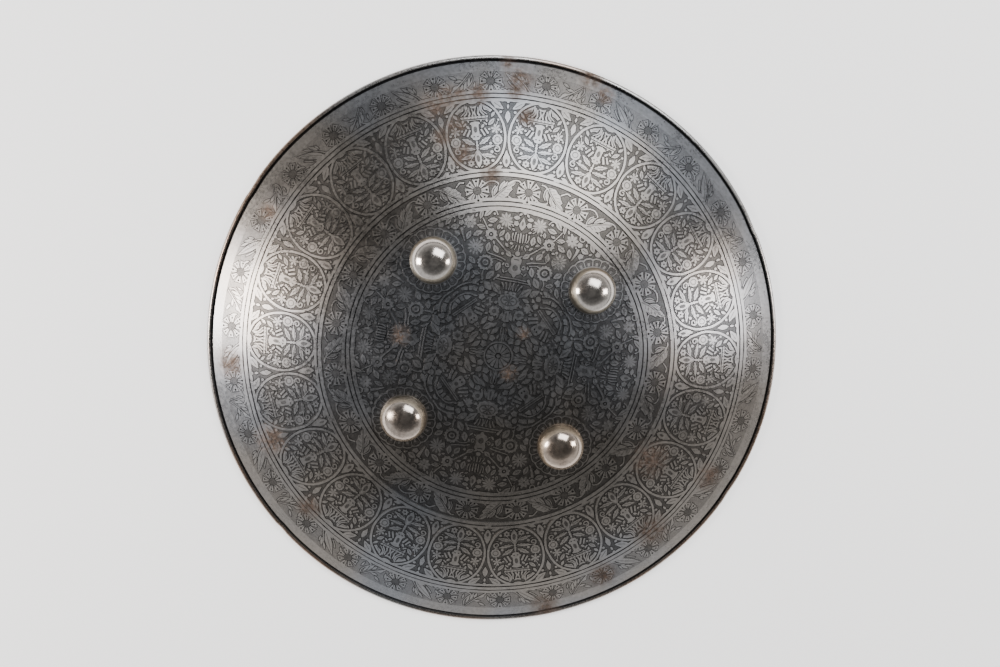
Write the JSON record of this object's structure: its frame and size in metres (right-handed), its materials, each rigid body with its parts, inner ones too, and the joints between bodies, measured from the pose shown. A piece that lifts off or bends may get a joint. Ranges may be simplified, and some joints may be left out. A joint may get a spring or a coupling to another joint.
{
  "type": "buckler shield",
  "caption": "Round domed steel shield with a rolled rim, etched floral bands and roundels, polished bosses and loose grip rings behind; it lies dome up on its rim.",
  "frame": {"origin": "centre of the plane that the rim rests on, under the middle of the dome", "axes": "+Z along the dome's axis towards its outer face, the bosses on the diagonals between +X and +Y"},
  "size_m": [0.45, 0.45, 0.0654],
  "materials": {
    "etched_steel": "dark grey patinated steel, etched, with worn bright lines and a little rust",
    "polished_steel": "polished, with light wear and small stains",
    "ring_iron": "dark forged iron, rubbed"
  },
  "bodies": {
    "root": {"bowl": "etched_steel", "boss_1": "polished_steel", "boss_2": "polished_steel", "boss_3": "polished_steel", "boss_4": "polished_steel", "grip_ring_1": "ring_iron", "grip_ring_2": "ring_iron", "grip_ring_3": "ring_iron", "grip_ring_4": "ring_iron"}
  },
  "joints": []
}
